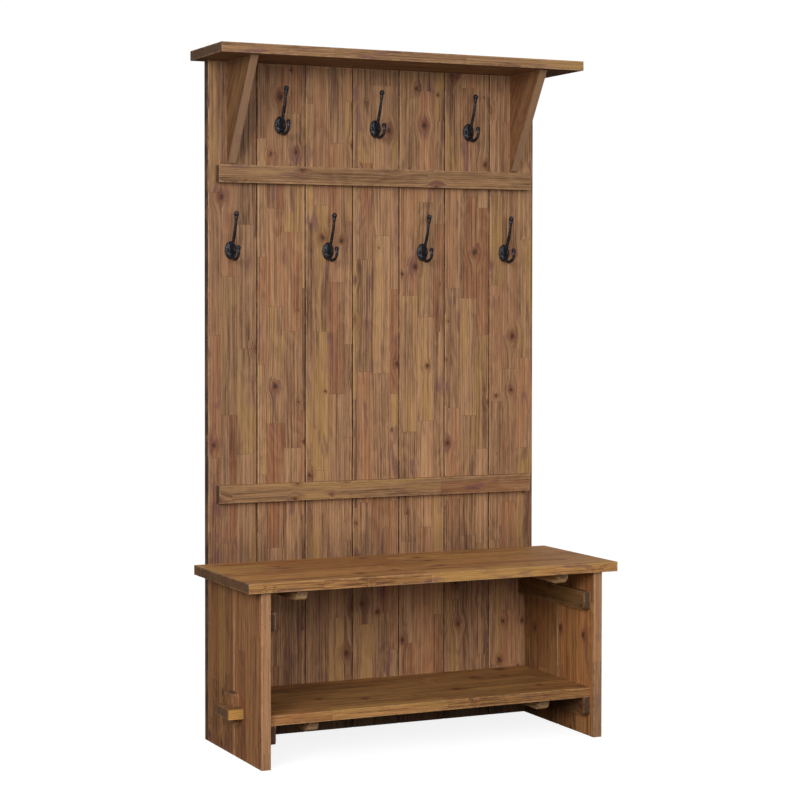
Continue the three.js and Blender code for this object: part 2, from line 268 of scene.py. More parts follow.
KNOT_CELL = 0.105
KNOT_STRETCH = 0.82
KNOT_RADIUS = 0.0105
SMALLEST_KNOT = 0.0003
KNOT_WOBBLE = 0.012
KNOT_RAGGEDNESS = 0.010
KNOT_PUSH = 0.8
KNOT_CYCLES = (90.0, 170.0)

HAIRLINE = (0.0009, 0.0002)
STRIP_UNEVENNESS = 0.45
BUTT_UNEVENNESS = 0.7

RING_SPACING = 0.0052
RING_SWELL = 0.045
PITH_SPREAD = 0.09
PITH_DEPTHS = (0.012, 0.05)
PITH_DRIFT = 0.11
HEARTWOOD_WIDTH = 0.045
HEARTWOOD_MIDDLE = 0.02
GRAIN_WANDER = 0.012
SEED_SHIFT = (1.37, 0.613, 0.271)


def stretched(graph, grain, layer, offset=0.0):
    """Texture coordinates that run long and thin with the grain."""
    along, across, through = grain
    lengthwise, crosswise = layer
    x = graph.sum(graph.times(along, lengthwise), offset)
    return graph.combine(x, graph.times(across, crosswise), graph.times(through, crosswise))


def find_knots(graph, along, across, seed):
    """Knots run straight through a board. Gives closeness to the heart, the rim and the
    surrounding grain, and how far the grain is pushed aside."""
    wobble = graph.noise(graph.combine(along, across, seed), KNOT_CYCLES[0])
    ragged = graph.noise(graph.combine(across, along, seed), KNOT_CYCLES[1])
    shifted = graph.sum(across, graph.times(graph.minus(wobble, 0.5), KNOT_WOBBLE))
    risen = graph.sum(along, graph.times(graph.minus(ragged, 0.5), KNOT_RAGGEDNESS))
    spot = graph.combine(graph.times(risen, KNOT_STRETCH), shifted, 0.0)
    cells = graph.add("ShaderNodeTexVoronoi", feature="F1", voronoi_dimensions="2D")
    graph.feed(cells.inputs["Vector"], spot)
    graph.feed(cells.inputs["Scale"], 1.0 / KNOT_CELL)
    away = graph.vector("SUBTRACT", spot, cells.outputs["Position"])
    _, sideways, _ = graph.split(away)
    luck, _, _ = graph.split(cells.outputs["Color"])
    grown = graph.times(graph.ramp(luck, 0.35, 1.0, False), KNOT_RADIUS)
    ratio = graph.over(graph.vector("LENGTH", away), graph.sum(grown, SMALLEST_KNOT))
    heart = graph.ramp(ratio, 1.05, 0.25)
    rim = graph.ramp(ratio, 2.0, 0.8)
    halo = graph.ramp(ratio, 4.2, 0.8)
    return heart, rim, halo, graph.times(sideways, halo, -KNOT_PUSH)


def cells_along(graph, position, unevenness):
    """Uneven cells on a line: the cell's own number, and how far its nearest edge is."""
    inside = graph.add("ShaderNodeTexVoronoi", feature="F1", voronoi_dimensions="1D")
    edge = graph.add("ShaderNodeTexVoronoi", feature="DISTANCE_TO_EDGE", voronoi_dimensions="1D")
    for cells in (inside, edge):
        graph.feed(cells.inputs["W"], position)
        cells.inputs["Scale"].default_value = 1.0
        cells.inputs["Randomness"].default_value = unevenness
    return inside.outputs["W"], edge.outputs["Distance"]


def find_stave(graph, along, across, width, length, seed):
    """Boards are glued up from staves of uneven width, butted end to end. Gives the three
    random numbers of this stave and the hairline joints. The factors only keep the random
    draws apart."""
    row = graph.sum(graph.over(across, width), graph.times(seed, 7.0))
    strip, side_gap = cells_along(graph, row, STRIP_UNEVENNESS)
    start, _, _ = graph.random(strip)
    run = graph.sum(graph.over(along, length), graph.times(start, 37.0))
    piece, end_gap = cells_along(graph, run, BUTT_UNEVENNESS)
    key = graph.sum(graph.times(strip, 13.7), graph.times(piece, 5.3))
    beside = graph.ramp(graph.times(side_gap, width), *HAIRLINE)
    ahead = graph.ramp(graph.times(end_gap, length), *HAIRLINE)
    return graph.random(key), graph.math("MAXIMUM", beside, ahead)


def growth_rings(graph, grain, chance):
    """Rings round a pith that lies off the stave and drifts along it, so that flat faces
    show long arches and the ends show arcs."""
    along, across, through = grain
    aside, below, slant = chance
    nearest, spread = PITH_DEPTHS
    pith_x = graph.times(graph.minus(aside, 0.5), PITH_SPREAD)
    pith_z = graph.sum(graph.times(below, spread), nearest)
    drift = graph.times(graph.minus(slant, 0.5), along, PITH_DRIFT)
    swell = graph.times(graph.noise(stretched(graph, grain, SWELL)), RING_SWELL)
    depth = graph.sum(through, pith_z, drift, swell)
    mirrored = graph.math("PINGPONG", across, HEARTWOOD_WIDTH)
    local = graph.minus(mirrored, graph.sum(HEARTWOOD_MIDDLE, pith_x))
    radius = graph.vector("LENGTH", graph.combine(local, depth, 0.0))
    phase = graph.math("FRACT", graph.over(radius, RING_SPACING))
    return graph.times(graph.ramp(phase, 0.0, 0.75), graph.ramp(phase, 1.0, 0.8))


def grain_layers(graph, grain, jump):
    """Broad bands, fine streaks, brushed fibre, open pores and dark patches. All but the
    patches start afresh on every stave."""
    band = graph.noise(stretched(graph, grain, BAND, jump), 1.0, 3.0, 0.55)
    streak = graph.noise(stretched(graph, grain, STREAK, jump), 1.0, 1.0, 0.5)
    fibre = graph.noise(stretched(graph, grain, FIBRE, jump), 1.0, 3.0, 0.65)
    pores = graph.noise(stretched(graph, grain, PORES, jump), 1.0, 2.0, 0.6)
    patch = graph.noise(stretched(graph, grain, PATCH), 1.0, 2.0, 0.5, 0.3)
    return band, streak, fibre, graph.ramp(pores, 0.60, 0.70), patch


def wood_tone(graph, layers, ring, tone, whole, variety):
    """Where this spot lies between the board's dark and its light."""
    band, streak, fibre, pore, patch = layers
    light = graph.times(graph.minus(band, 0.5), BAND_WEIGHT)
    lines = graph.minus(graph.ramp(streak, 0.34, 0.64), 0.5)
    light = graph.sum(light, graph.times(lines, STREAK_WEIGHT))
    light = graph.sum(light, graph.times(graph.minus(fibre, 0.5), FIBRE_WEIGHT))
    light = graph.minus(light, graph.times(graph.minus(ring, 0.35), RING_WEIGHT))
    light = graph.minus(light, graph.times(graph.ramp(patch, 0.42, 0.30), PATCH_WEIGHT))
    light = graph.minus(light, graph.times(pore, PORE_WEIGHT))
    stave = graph.times(graph.minus(tone, 0.5), variety)
    board = graph.times(graph.minus(whole, 0.5), BOARD_WEIGHT)
    return graph.math("ADD", graph.sum(light, stave, board), MIDDLE_TONE, clamp=True)


def stain(graph, color, grain, layers, halo, hue, other):
    """Staves and streaks that lean to straw, russet or plum."""
    band, _, _, _, patch = layers
    straw = graph.times(graph.ramp(hue, 0.55, 0.9), graph.ramp(patch, 0.44, 0.58), STRAW_TINT)
    color = graph.mix(straw, color, STRAW)
    russet = graph.times(graph.ramp(hue, 0.42, 0.12), graph.ramp(band, 0.62, 0.42), RUSSET_TINT)
    color = graph.mix(russet, color, RUSSET)
    cloud = graph.noise(stretched(graph, grain, CLOUD), 1.0, 2.0, 0.55, 0.4)
    bruise = graph.sum(cloud, graph.times(other, 0.08), graph.times(halo, 0.10))
    return graph.mix(graph.times(graph.ramp(bruise, 0.64, 0.76), PLUM_TINT), color, PLUM)


def wood_relief(graph, layers, ring, joint, heart):
    """Brushing raises the streaks and fibre. Pores, joints and knots lie lower."""
    _, streak, fibre, pore, _ = layers
    height = graph.sum(graph.times(streak, 0.8), graph.times(fibre, 0.6), graph.times(ring, -0.15))
    height = graph.minus(height, graph.times(pore, 0.3))
    height = graph.minus(height, graph.times(joint, 0.35))
    return graph.minus(height, graph.times(heart, 0.3))


def wood_group():
    """Solid, brushed wood. Gives its Color, its brushed Height and Coarse, for roughness.
    Flat is 1 on a board's faces and less on its edges, where knots show weakly."""
    graph, given, out = new_group(
        "solid_wood",
        [("Place", "NodeSocketVector"), ("Seed", "NodeSocketFloat"), ("Stave", "NodeSocketFloat"),
         ("Length", "NodeSocketFloat"), ("Dark", "NodeSocketColor"), ("Light", "NodeSocketColor"),
         ("Variety", "NodeSocketFloat"), ("Flat", "NodeSocketFloat")],
        [("Color", "NodeSocketColor"), ("Height", "NodeSocketFloat"), ("Coarse", "NodeSocketFloat")])
    seed = given["Seed"]
    shift = graph.combine(*(graph.times(seed, step) for step in SEED_SHIFT))
    along, across, through = graph.split(graph.vector("ADD", given["Place"], shift))
    heart, rim, halo, push = find_knots(graph, along, across, seed)
    heart, rim, halo = (graph.times(part, given["Flat"]) for part in (heart, rim, halo))
    _, flat_across, _ = graph.split(given["Place"])
    chance, joint = find_stave(graph, along, flat_across, given["Stave"], given["Length"], seed)
    tone, hue, other = chance
    whole, _, _ = graph.random(graph.times(seed, 3.3))

    # the grain wanders a little, and bends round the knots
    sway = graph.noise(stretched(graph, (along, across, through), SWAY))
    lane = graph.sum(across, push, graph.times(graph.minus(sway, 0.5), GRAIN_WANDER))
    grain = (along, lane, through)
    ring = growth_rings(graph, grain, chance)
    layers = grain_layers(graph, grain, graph.times(hue, 9.0))

    light = wood_tone(graph, layers, ring, tone, whole, given["Variety"])
    color = graph.mix(light, given["Dark"], given["Light"])
    color = stain(graph, color, grain, layers, halo, hue, other)
    color = graph.mix(graph.times(halo, HALO_TINT), color, KNOT_RIM)
    color = graph.mix(graph.times(rim, RIM_TINT), color, KNOT_RIM)
    color = graph.mix(graph.times(heart, HEART_TINT), color, KNOT_HEART)
    color = graph.mix(graph.times(joint, SEAM_TINT), color, SEAM)
    graph.feed(out["Color"], color)
    graph.feed(out["Height"], wood_relief(graph, layers, ring, joint, heart))
    _, _, fibre, pore, _ = layers
    graph.feed(out["Coarse"], graph.sum(fibre, graph.times(pore, 0.4), graph.times(heart, -0.3)))
    return graph.tree


CHIP_CYCLES = 55.0
ARRIS_MASK_REACH = 6.0 * MM
ARRIS_MASK_FADE = (-1.2 * MM, 1.8 * MM)


def arris_mask_group():
    """Wear_and_highlight: 1 on the arrises of a board's box, and 0 a few millimetres in. It marks
    rubbed wear and a painted edge highlight.
    """
    graph, given, out = new_group(
        "arris_wear_and_highlight",
        [("Place", "NodeSocketVector"), ("Low", "NodeSocketVector"), ("High", "NodeSocketVector")],
        [("Wear_and_highlight", "NodeSocketFloat")])
    below = graph.split(graph.vector("SUBTRACT", given["Place"], given["Low"]))
    above = graph.split(graph.vector("SUBTRACT", given["High"], given["Place"]))
    x, y, z = (graph.math("MINIMUM", a, b) for a, b in zip(below, above))
    smallest = graph.math("MINIMUM", x, graph.math("MINIMUM", y, z))
    largest = graph.math("MAXIMUM", x, graph.math("MAXIMUM", y, z))
    middle = graph.minus(graph.minus(graph.sum(x, y, z), smallest), largest)
    chips = graph.noise(given["Place"], CHIP_CYCLES, 4.0, 0.6)
    reach = graph.times(graph.ramp(chips, 0.38, 0.72, False), ARRIS_MASK_REACH)
    graph.feed(out["Wear_and_highlight"], graph.ramp(graph.minus(reach, middle), *ARRIS_MASK_FADE))
    return graph.tree


WOOD = wood_group()
ARRIS_MASK = arris_mask_group()

# ------------------------------------------------------------------ boards
BACK_TONES = (srgb(92, 61, 43), srgb(184, 140, 101))
DARK_BACK_TONES = (srgb(80, 53, 38), srgb(164, 124, 90))
SIDE_TONES = (srgb(74, 44, 27), srgb(174, 121, 77))
# painted shade: the right side's tones darkened for its back board, which lies deeper under the seat
SHADED_WARM_TONES = (srgb(72, 46, 28), srgb(172, 124, 76))
WARM_TONES = (srgb(84, 49, 28), srgb(198, 138, 84))
BRACKET_TONES = (srgb(70, 43, 28), srgb(158, 112, 76))
WEDGE_TONES = (srgb(112, 72, 45), srgb(174, 123, 78))
FLAT_TONES = (srgb(98, 62, 35), srgb(190, 138, 82))
TRIM_TONES = (srgb(90, 62, 40), srgb(166, 126, 88))
# painted shade: the cleats' tones are darkened for the shade under the seat and the shelf
SHADED_CLEAT_TONES = (srgb(58, 38, 22), srgb(122, 88, 54))
NOSE_TONES = (srgb(150, 108, 70), srgb(234, 190, 136))

# A board takes the first row whose word is in its name. The grain's letters are the axes
# along it, across the board's face and through its thickness, and a slanted grain follows
# the bracket's sloping edge. Stave and length are the mean sizes of the staves, in metres.
# Tones are the board's dark and its light. Variety is how much its staves differ in tone.
Look = namedtuple("Look", "word grain stave length tones variety")
SINGLE_STAVE = 0.20
LONG_STAVE = 1.3
LOOKS = [
    Look("left_side_", "zyx", 0.0493, 0.36, SIDE_TONES, 0.40),
    # the right side's back board: painted shade in its tones
    Look("right_side_back", "zyx", 0.0493, 0.36, SHADED_WARM_TONES, 0.46),
    Look("right_side_", "zyx", 0.0493, 0.36, WARM_TONES, 0.46),
    Look("back_plank_1", "zxy", 0.0465, 0.33, DARK_BACK_TONES, 0.30),
    Look("back_plank", "zxy", 0.0465, 0.33, BACK_TONES, 0.32),
    Look("top_shelf", "xyz", 0.052, 0.40, TRIM_TONES, 0.24),
    Look("seat_batten", "yxz", SINGLE_STAVE, LONG_STAVE, NOSE_TONES, 0.1),
    Look("shelf_batten", "yxz", SINGLE_STAVE, LONG_STAVE, NOSE_TONES, 0.1),
    Look("lower_shelf", "xyz", 0.048, 0.38, FLAT_TONES, 0.24),
    Look("seat", "xyz", 0.051, 0.42, FLAT_TONES, 0.24),
    Look("rail", "xzy", SINGLE_STAVE, 0.62, TRIM_TONES, 0.16),
    Look("bracket", "slant", 0.062, 0.9, BRACKET_TONES, 0.45),
    # cleats: painted shade in their tones
    Look("cleat", "yzx", SINGLE_STAVE, LONG_STAVE, SHADED_CLEAT_TONES, 0.1),
    Look("wedge", "zyx", SINGLE_STAVE, LONG_STAVE, WEDGE_TONES, 0.1),
]
BRACKET_RUN = 169 * MM
BRACKET_RISE = 268 * MM
TONGUE = 6 * MM
PLANK_GROOVE = 3.0 * MM
SIDE_GROOVE = 4.5 * MM
SIDE_SPLIT = PANEL_FRONT - 198 * MM
TENON_SHOULDER = 29 * MM
TENON_ZONE = (50 * MM, 35 * MM)
SAP_HALF_WIDTH = (9 * MM, 5 * MM)
# how high the painted shade reaches at the back's foot and above the seat
FOOT_SHADE_HEIGHT = 130 * MM
CORNER_SHADE_HEIGHT = 120 * MM
SEAT_CONTACT = 10 * MM
BREAK_CYCLES = 14.0
SEED_STEP = 0.731
LAST_PLANK = "back_plank_7"
ROUNDING = 1.5 * MM
FINE_ROUNDING = 0.8 * MM
DRILLED = ("plank", "cleat")
BOARD_GLOSS = 0.22
BRUSHING_DEPTH = 1.0 * MM


def grain_frame(graph, place, grain, low):
    """Turns a place in the room into along, across and through, counted from a board's corner."""
    x, y, z = graph.split(graph.vector("SUBTRACT", place, low))
    if grain == "slant":
        lean = math.atan2(BRACKET_RUN, BRACKET_RISE)
        along = graph.minus(graph.times(z, math.cos(lean)), graph.times(y, math.sin(lean)))
        across = graph.sum(graph.times(z, math.sin(lean)), graph.times(y, math.cos(lean)))
        return graph.combine(along, across, x)
    parts = {"x": x, "y": y, "z": z}
    return graph.combine(*(parts[letter] for letter in grain))


def painted_front_light_and_grey(graph, color, facing_back, name):
    """The front faces are painted paler as painted light, most strongly on the brackets; on the right
    side they are greyed instead.
    """
    tint, share = FRONT_PAINTED_LIGHT, FRONT_PAINTED_LIGHT_TINT
    if "right_side" in name:
        tint, share = RIGHT_FRONT_GREY, RIGHT_FRONT_GREY_TINT
    if "bracket" in name:
        share = BRACKET_FRONT_PAINTED_LIGHT_TINT
    front = graph.ramp(facing_back, -0.6, -0.8)
    return graph.mix(graph.times(front, share), color, tint)


def wear_and_highlight_on_arrises(graph, color, place, low, high):
    """Paler wood along a board's arrises: rubbed wear, and partly a painted edge highlight."""
    edge_mark = graph.add("ShaderNodeGroup", node_tree=ARRIS_MASK)
    for label, value in (("Place", place), ("Low", low), ("High", high)):
        graph.feed(edge_mark.inputs[label], value)
    return graph.mix(graph.times(edge_mark.outputs["Wear_and_highlight"], ARRIS_WEAR_AND_HIGHLIGHT_TINT), color, RUBBED_AND_HIGHLIGHT)


def tenon_ends(graph, color, place, facing_up, tip):
    """A pale sapwood streak ends in the tenons' front edge, and their tops are darker."""
    x, y, _ = graph.split(place)
    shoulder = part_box("left_tusk_wedge")[0][1] - TENON_SHOULDER
    streak = graph.ramp(graph.math("ABSOLUTE", graph.minus(y, shoulder)), *SAP_HALF_WIDTH)
    inner, outer = TENON_ZONE
    outside = graph.ramp(graph.math("ABSOLUTE", x), tip - inner, tip - outer)
    color = graph.mix(graph.times(streak, outside, SAP_TINT), color, SAP)
    top = graph.ramp(facing_up, 0.6, 0.8)
    return graph.mix(graph.times(top, outside, TENON_TOP_DARK_TINT), color, DEEP_BROWN)


def board_grooves(name, low, high):
    """The V joints at a board's edges: an axis and where the joint crosses it."""
    if name.startswith("back_plank"):
        return [("x", low[0]), ("x", high[0])]
    if "_side_" in name:
        return [("y", SIDE_SPLIT)]
    return []


def painted_groove_shade_and_highlight(graph, color, place, grooves):
    """Painted shade down in the V between two boards, and a painted highlight on the arris on its +X
    or +Y side.
    """
    parts = dict(zip("xyz", graph.split(place)))
    shade_mask, arris_highlight = 0.0, 0.0
    for axis, value in grooves:
        half = PLANK_GROOVE if axis == "x" else SIDE_GROOVE
        side = graph.minus(parts[axis], value)
        gap = graph.math("ABSOLUTE", side)
        shade_mask = graph.math("MAXIMUM", shade_mask, graph.ramp(gap, 0.7 * half, 0.25 * half))
        off = graph.math("ABSOLUTE", graph.minus(side, half))
        arris_highlight = graph.math("MAXIMUM", arris_highlight, graph.ramp(off, 0.5 * half, 0.15 * half))
    broken = graph.ramp(graph.noise(place, BREAK_CYCLES, 3.0, 0.6), 0.36, 0.6)
    color = graph.mix(graph.times(arris_highlight, broken, GROOVE_ARRIS_HIGHLIGHT_TINT), color, RUBBED_AND_HIGHLIGHT)
    uneven = graph.sum(0.55, graph.times(broken, 0.45))
    return graph.mix(graph.times(shade_mask, uneven, GROOVE_SHADE_TINT), color, DEEP_BROWN)


def painted_foot_and_corner_shade(graph, color, place, facing_back):
    """The back's front face is darkened at its foot, under the lower shelf, and in the corner above
    the seat: painted shade.
    """
    _, _, height = graph.split(place)
    foot = graph.times(graph.ramp(height, FOOT_SHADE_HEIGHT, 0.5 * FOOT_SHADE_HEIGHT), FOOT_SHADE_TINT)
    above = graph.minus(height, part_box("seat")[1][2])
    near = graph.times(graph.ramp(above, CORNER_SHADE_HEIGHT, 0.0), graph.ramp(above, -SEAT_CONTACT, 0.0))
    shade_mask = graph.math("MAXIMUM", foot, graph.times(near, CORNER_SHADE_TINT))
    front = graph.ramp(facing_back, 0.0, -0.5)
    return graph.mix(graph.times(shade_mask, front), color, DEEP_BROWN)


def solid_wood(graph, place, facing, seed, look, low):
    """The wood inside a board, and how much this spot is end grain."""
    wood = graph.add("ShaderNodeGroup", node_tree=WOOD)
    graph.feed(wood.inputs["Place"], grain_frame(graph, place, look.grain, low))
    dark, light = look.tones
    for label, value in (("Seed", seed), ("Stave", look.stave), ("Length", look.length),
                         ("Dark", dark), ("Light", light), ("Variety", look.variety)):
        graph.feed(wood.inputs[label], value)
    first, _, last = "zyx" if look.grain == "slant" else look.grain
    flat = graph.ramp(graph.math("ABSOLUTE", facing[last]), 0.3, 0.8)
    graph.feed(wood.inputs["Flat"], graph.sum(0.25, graph.times(flat, 0.75)))
    return wood, graph.ramp(graph.math("ABSOLUTE", facing[first]), 0.75, 0.95)


def wood_material(name, seed, look, low, high):
    """A board's wood, with rubbed wear, darker tenon tops, and painted light and shade."""
    material, graph, shader = new_material("wood_" + name)
    coordinates = graph.add("ShaderNodeTexCoord")
    place = coordinates.outputs["Object"]
    facing = dict(zip("xyz", graph.split(coordinates.outputs["Normal"])))
    wood, end_grain = solid_wood(graph, place, facing, seed, look, low)
    color = graph.mix(graph.times(end_grain, END_GRAIN_TINT), wood.outputs["Color"], END_GRAIN)
    # front faces of sides and brackets: painted light, or grey on the right side
    if "_side_" in name or "bracket" in name:
        color = painted_front_light_and_grey(graph, color, facing["y"], name)
    # arrises: rubbed wear and a painted edge highlight
    color = wear_and_highlight_on_arrises(graph, color, place, low, high)
    # the tenons' sapwood streak and darker tops
    if name == "lower_shelf":
        color = tenon_ends(graph, color, place, facing["z"], high[0])
    # V joints: painted shade in the groove and a painted highlight on one arris
    grooves = board_grooves(name, low, high)
    if grooves:
        color = painted_groove_shade_and_highlight(graph, color, place, grooves)
    # painted shade at the back's foot and in the corner above the seat
    if name.startswith("back_plank"):
        color = painted_foot_and_corner_shade(graph, color, place, facing["y"])
    graph.feed(shader.inputs["Base Color"], color)
    rough = graph.sum(0.52, graph.times(wood.outputs["Coarse"], 0.16), graph.times(end_grain, 0.12))
    graph.feed(shader.inputs["Roughness"], rough)
    shader.inputs["Specular IOR Level"].default_value = BOARD_GLOSS
    graph.feed(shader.inputs["Normal"], graph.bump(wood.outputs["Height"], BRUSHING_DEPTH, 0.6))
    return material


def soften_edges(board, drilled):
    """Sanded edges. A board with screw holes keeps its own faces, so the holes stay clean."""
    if not drilled:
        flat = board.modifiers.new("flat_faces", "DECIMATE")
        flat.decimate_type = "DISSOLVE"
        flat.angle_limit = math.radians(1.0)
    bevel = board.modifiers.new("sanded_edges", "BEVEL")
    bevel.width = FINE_ROUNDING if drilled else ROUNDING
    bevel.segments = 1 if drilled else 2
    bevel.limit_method = "ANGLE"
    bevel.angle_limit = math.radians(30)
    bevel.use_clamp_overlap = not drilled


def finish_boards():
    """Every board has its own wood, eased arrises and its grain counted from its own corner.
    A tongue is left out of its plank's box, because the next plank covers it."""
    boards = [n for n in sorted(NODES) if not n.endswith("screw") and "hook" not in n]
    for index, name in enumerate(boards):
        look = next(row for row in LOOKS if row.word in name)
        low, high = (list(corner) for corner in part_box(name))
        if name.startswith("back_plank") and name != LAST_PLANK:
            high[0] -= TONGUE
        board = NODES[name]
        seed = 1.0 + SEED_STEP * index
        board.data.materials.clear()
        board.data.materials.append(wood_material(name, seed, look, low, high))
        soften_edges(board, any(word in name for word in DRILLED))


# ------------------------------------------------------------------ iron and steel
IRON_BLACK = srgb(46, 49, 56)
IRON_RUBBED = srgb(98, 90, 88)
IRON_METALLIC = 0.75
IRON_CLOUDS = 130.0
IRON_HAMMERING = 260.0
IRON_GRIT = 1100.0
CASTING_RELIEF = 1.3 * MM
STEEL = srgb(108, 102, 96)
STEEL_STAINED = srgb(52, 48, 46)
STEEL_METALLIC = 0.9
STEEL_STAINS = 700.0
PLATING_RELIEF = 0.2 * MM


def iron_material():
    """Black cast iron: hammered and gritty, and rubbed lighter in clouds."""
    material, graph, shader = new_material("black_iron")
    place = graph.add("ShaderNodeTexCoord").outputs["Object"]
    cloud = graph.noise(place, IRON_CLOUDS, 4.0, 0.6)
    hammer = graph.add("ShaderNodeTexVoronoi", feature="SMOOTH_F1")
    graph.feed(hammer.inputs["Vector"], place)
    graph.feed(hammer.inputs["Scale"], IRON_HAMMERING)
    grit = graph.noise(place, IRON_GRIT, 3.0, 0.6)
    rub = graph.ramp(cloud, 0.50, 0.70)
    color = graph.mix(rub, IRON_BLACK, IRON_RUBBED)
    graph.feed(shader.inputs["Base Color"], color)
    shader.inputs["Metallic"].default_value = IRON_METALLIC
    rough = graph.sum(0.22, graph.times(cloud, 0.22), graph.times(grit, 0.14))
    graph.feed(shader.inputs["Roughness"], rough)
    height = graph.sum(hammer.outputs["Distance"], graph.times(grit, 0.25), cloud)
    graph.feed(shader.inputs["Normal"], graph.bump(height, CASTING_RELIEF, 0.7))
    return material


def screw_material():
    """Dull plated steel with dark stains."""
    material, graph, shader = new_material("screw_plating")
    place = graph.add("ShaderNodeTexCoord").outputs["Object"]
    stain = graph.noise(place, STEEL_STAINS, 4.0, 0.65)
    color = graph.mix(graph.ramp(stain, 0.35, 0.7), STEEL_STAINED, STEEL)
    graph.feed(shader.inputs["Base Color"], color)
    shader.inputs["Metallic"].default_value = STEEL_METALLIC
    graph.feed(shader.inputs["Roughness"], graph.sum(0.28, graph.times(stain, 0.3)))
    graph.feed(shader.inputs["Normal"], graph.bump(stain, PLATING_RELIEF, 0.4))
    return material


# ------------------------------------------------------------------ coat hooks
# Paths are points out from the plate's back and up from its middle, in millimetres. Girths
# and rings give a radius in millimetres at a share of the way along the path.
PLATE_HALF = (16.5 * MM, 24.0 * MM)
PLATE_EDGE = 2.5 * MM
PLATE_DOME = 5.5 * MM
PLATE_RIM = 0.9 * MM
RIM_PLACE = 0.9
RIM_SPREAD = 0.055
DOME_REACH = 0.96
DOME_FULLNESS = 1.1
SCREW_OFFSET = 10.5 * MM
SCREW_SEAT = 4.0 * MM
DIMPLE = 4.6 * MM
DIMPLE_WALL = 0.35 * DIMPLE
ARM_PATH = [(3, -9), (12, 3), (20, 18), (31, 42), (39, 65), (44, 85), (46, 95)]
CURL_PATH = [(3, -15), (14, -21), (34, -25), (54, -18.5), (62, -6), (60.5, 5.5)]
ARM_GIRTH = [(0.0, 5.8), (0.18, 5.0), (0.45, 4.2), (0.76, 3.8), (0.84, 4.9), (1.0, 4.7)]
CURL_GIRTH = [(0.0, 5.8), (0.25, 5.0), (0.65, 4.3), (0.92, 3.8), (1.0, 3.7)]
ARM_RINGS = [(0.83, 5.7), (0.875, 5.3)]
CURL_RINGS = [(0.90, 4.8)]
BALL = (7.0 * MM, 1.08)
CURL_BALL = (6.2 * MM, 1.05)
RING_SQUASH = 0.45
CAST_VOXEL = 0.75 * MM
PATH_STEPS = 8


def smooth_path(points, steps):
    """Catmull-Rom curve through (out, up) points, as places in front of the plate's centre."""
    places = [Vector((0.0, -out * MM, up * MM)) for out, up in points]
    places = [2 * places[0] - places[1]] + places + [2 * places[-1] - places[-2]]
    curve = []
    for i in range(1, len(places) - 2):
        a, b, c, d = places[i - 1:i + 3]
        for step in range(steps):
            t = step / steps
            curve.append(0.5 * ((2 * b) + (c - a) * t + (2 * a - 5 * b + 4 * c - d) * t ** 2
                                + (3 * b - a - 3 * c + d) * t ** 3))
    curve.append(places[-2])
    return curve


def blend_girth(stops, t):
    """The bar's radius at a share t of the way along it, eased from stop to stop."""
    for (t0, r0), (t1, r1) in zip(stops, stops[1:]):
        if t <= t1:
            share = (t - t0) / (t1 - t0)
            share = share * share * (3 - 2 * share)
            return (r0 + (r1 - r0) * share) * MM
    return stops[-1][1] * MM


def sweep(mesh, curve, stops, sides=16):
    """A round bar along a curve that lies in the plate's middle plane, with its ends closed."""
    rings = []
    angles = [2 * math.pi * k / sides for k in range(sides)]
    side = Vector((1, 0, 0))
    for i, centre in enumerate(curve):
        ahead = curve[min(i + 1, len(curve) - 1)] - curve[max(i - 1, 0)]
        ahead.normalize()
        up = ahead.cross(side)
        girth = blend_girth(stops, i / (len(curve) - 1))
        spokes = [math.cos(a) * side + math.sin(a) * up for a in angles]
        rings.append([mesh.verts.new(centre + girth * spoke) for spoke in spokes])
    for near, far in zip(rings, rings[1:]):
        for k in range(sides):
            mesh.faces.new((near[k], near[(k + 1) % sides], far[(k + 1) % sides], far[k]))
    mesh.faces.new(list(reversed(rings[0])))
    mesh.faces.new(rings[-1])


def add_bead(mesh, centre, ahead, radius, squash):
    """A ball, or a turned ring when it is squashed along the bar."""
    turn = Vector((0, 0, 1)).rotation_difference(ahead).to_matrix().to_4x4()
    place = Matrix.Translation(centre) @ turn @ Matrix.Diagonal((1, 1, squash, 1))
    bmesh.ops.create_uvsphere(mesh, u_segments=20, v_segments=12, radius=radius, matrix=place)


def plate_height(x, z):
    """How far the plate's face stands off the boards: a dome inside a rim, dimpled at the screws."""
    reach = math.hypot(x / PLATE_HALF[0], z / PLATE_HALF[1])
    rim = PLATE_RIM * math.exp(-((reach - RIM_PLACE) / RIM_SPREAD) ** 2)
    rise = math.sqrt(max(0.0, 1 - (reach / DOME_REACH) ** 2)) ** DOME_FULLNESS
    height = PLATE_EDGE + PLATE_DOME * rise + rim
    for side in (-1, 1):
        gap = math.hypot(x - side * SCREW_OFFSET, z)
        sink = min(1.0, max(0.0, (DIMPLE - gap) / DIMPLE_WALL))
        height += (SCREW_SEAT - height) * sink * sink * (3 - 2 * sink)
    return height


def add_plate(mesh, rings=22, sides=56):
    """The oval plate: a domed front, a thin edge and a flat back."""
    half_width, half_height = PLATE_HALF
    angles = [2 * math.pi * k / sides for k in range(sides)]
    outline = [(half_width * math.cos(a), half_height * math.sin(a)) for a in angles]
    front = []
    for ring in range(1, rings + 1):
        share = math.sin(0.5 * math.pi * ring / rings)
        places = [(share * x, share * z) for x, z in outline]
        front.append([mesh.verts.new((x, -plate_height(x, z), z)) for x, z in places])
    centre = mesh.verts.new((0, -plate_height(0, 0), 0))
    rear = [mesh.verts.new((x, 0.0, z)) for x, z in outline]
    for k in range(sides):
        following = (k + 1) % sides
        mesh.faces.new((centre, front[0][k], front[0][following]))
        for near, far in zip(front, front[1:]):
            mesh.faces.new((near[k], far[k], far[following], near[following]))
        mesh.faces.new((front[-1][k], rear[k], rear[following], front[-1][following]))
    mesh.faces.new(list(reversed(rear)))


